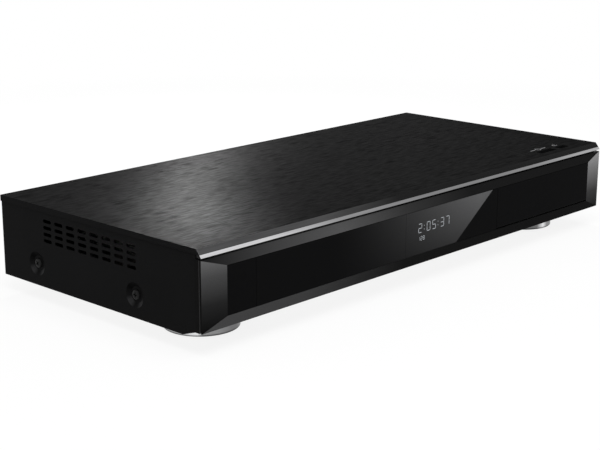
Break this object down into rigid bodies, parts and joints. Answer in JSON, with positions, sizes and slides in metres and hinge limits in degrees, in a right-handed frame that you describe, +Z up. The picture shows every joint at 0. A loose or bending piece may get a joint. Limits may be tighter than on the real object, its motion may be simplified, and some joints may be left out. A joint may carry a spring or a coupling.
{
  "type": "disc recorder",
  "caption": "Slim disc recorder with a motor-driven disc tray, a drop-down front flap over card slots, a hard disc, push buttons on top and sockets at the rear.",
  "frame": {"origin": "on the table, under the middle of the bounding box", "axes": "+X to the right along the front, seen from the front; -Y is the front, where the tray comes out; +Z up"},
  "size_m": [0.43, 0.208, 0.066],
  "materials": {
    "steel_black": "black powder coat with a fine grain",
    "plate": "black anodised, brushed along the width",
    "strip": "polished",
    "bezel": "dark metallic lacquer",
    "gloss": "high gloss black",
    "window": "tinted clear",
    "button": "satin black",
    "foot": "satin silver",
    "moulding": "fine grained black moulding",
    "nylon": "natural moulded plastic",
    "rubber": "matte",
    "zinc": "zinc plated sheet",
    "plated": "nickel plated",
    "cast": "cast and machined",
    "board": "green solder mask",
    "lens": "clear, coated",
    "display": "dark display glass",
    "core": "taped ferrite core",
    "can": "sleeved can",
    "ribbon": "white ribbon cable"
  },
  "bodies": {
    "case": {"button_board": "board", "capacitors": "can", "card_bay": "moulding", "card_slots": "moulding", "case_cover": "steel_black", "case_screws": "plated", "chassis_pan": "zinc", "clamper_bridge": "zinc", "data_sockets": "plated", "disc_bracket": "zinc", "display_board": "board", "display_module": "display", "display_window": "window", "drive_chassis": "moulding", "drive_cover": "zinc", "drive_ribbon": "ribbon", "edge_strip": "strip", "fan_frame": "moulding", "foot_pads": "rubber", "foot_screws": "plated", "front_bezel": "bezel", "front_foot_left": "foot", "front_foot_right": "foot", "hard_drive": "cast", "heat_sink": "cast", "loading_belt": "rubber", "loading_motor": "zinc", "main_board": "board", "mains_inlet": "moulding", "memory_card_slot": "zinc", "network_socket": "plated", "optical_socket": "moulding", "panel_strip": "gloss", "power_board": "board", "rear_foot_left": "moulding", "rear_foot_right": "moulding", "rear_panel": "zinc", "top_plate": "plate", "transformer": "core", "tuner": "zinc", "video_sockets": "plated"},
    "tray": {"disc_tray": "moulding", "tray_fascia": "gloss"},
    "loading_gear": {"loading_gear": "nylon"},
    "pulley_gear": {"pulley_gear": "nylon"},
    "motor_pulley": {"motor_pulley": "moulding"},
    "traverse": {"guide_rods": "plated", "sled_motor": "zinc", "spindle_motor": "zinc", "traverse_base": "zinc"},
    "cam_slider": {"cam_slider": "nylon"},
    "turntable": {"turntable": "moulding"},
    "clamper": {"clamper": "moulding"},
    "laser_sled": {"laser_sled": "cast", "lens": "lens"},
    "lead_screw": {"lead_screw": "plated"},
    "flap": {"front_flap": "gloss"},
    "power_button": {"power_button": "button"},
    "eject_button": {"eject_button": "button"},
    "fan_rotor": {"fan_rotor": "moulding"}
  },
  "joints": [
    {"name": "tray_slide", "type": "slide", "parent": "case", "child": "tray", "axis": [0, -1, 0], "range_m": [0, 0.134]},
    {"name": "loading_gear_spin", "type": "hinge", "parent": "case", "child": "loading_gear", "pos_m": [-0.146, -0.076, 0.024], "axis": [0, 0, 1], "range_deg": [0, 770]},
    {"name": "pulley_gear_spin", "type": "hinge", "parent": "case", "child": "pulley_gear", "pos_m": [-0.1244, -0.076, 0.024], "axis": [0, 0, 1], "range_deg": [-2200, 0]},
    {"name": "motor_pulley_spin", "type": "hinge", "parent": "case", "child": "motor_pulley", "pos_m": [-0.092, -0.078, 0.028], "axis": [0, 0, 1], "range_deg": [-7465, 0]},
    {"name": "traverse_tilt", "type": "hinge", "parent": "case", "child": "traverse", "pos_m": [-0.101, 0.054, 0.024], "axis": [1, 0, 0], "range_deg": [0, 3.5]},
    {"name": "cam_slide", "type": "slide", "parent": "case", "child": "cam_slider", "axis": [1, 0, 0], "range_m": [0, 0.01401]},
    {"name": "turntable_spin", "type": "hinge", "parent": "traverse", "child": "turntable", "pos_m": [-0.101, -0.032, 0.036], "axis": [0, 0, 1], "continuous": true},
    {"name": "clamper_spin", "type": "hinge", "parent": "case", "child": "clamper", "pos_m": [-0.101, -0.032, 0.042], "axis": [0, 0, 1], "continuous": true},
    {"name": "sled_slide", "type": "slide", "parent": "traverse", "child": "laser_sled", "axis": [0, 1, 0], "range_m": [0, 0.034]},
    {"name": "lead_screw_spin", "type": "hinge", "parent": "traverse", "child": "lead_screw", "pos_m": [-0.065, 0.018, 0.0235], "axis": [0, 1, 0], "range_deg": [0, 4085]},
    {"name": "flap_hinge", "type": "hinge", "parent": "case", "child": "flap", "pos_m": [0.1355, -0.1025, 0.0241], "axis": [1, 0, 0], "range_deg": [0, 90]},
    {"name": "power_press", "type": "slide", "parent": "case", "child": "power_button", "axis": [0, 0, -1], "range_m": [0, 0.0006], "stiffness_N_per_m": 800, "springref_m": -0.0004},
    {"name": "eject_press", "type": "slide", "parent": "case", "child": "eject_button", "axis": [0, 0, -1], "range_m": [0, 0.0006], "stiffness_N_per_m": 800, "springref_m": -0.0004},
    {"name": "fan_spin", "type": "hinge", "parent": "case", "child": "fan_rotor", "pos_m": [0.04, 0.089, 0.036], "axis": [0, 1, 0], "continuous": true}
  ],
  "couplings": [
    {"joint": "loading_gear_spin", "follows": "tray_slide", "rad_per_m": 100},
    {"joint": "pulley_gear_spin", "follows": "tray_slide", "rad_per_m": -285.71},
    {"joint": "motor_pulley_spin", "follows": "tray_slide", "rad_per_m": -971.43},
    {"joint": "cam_slide", "follows": "traverse_tilt", "m_per_rad": 0.22918},
    {"joint": "clamper_spin", "follows": "turntable_spin", "ratio": 1},
    {"joint": "lead_screw_spin", "follows": "sled_slide", "rad_per_m": 2094.4}
  ]
}
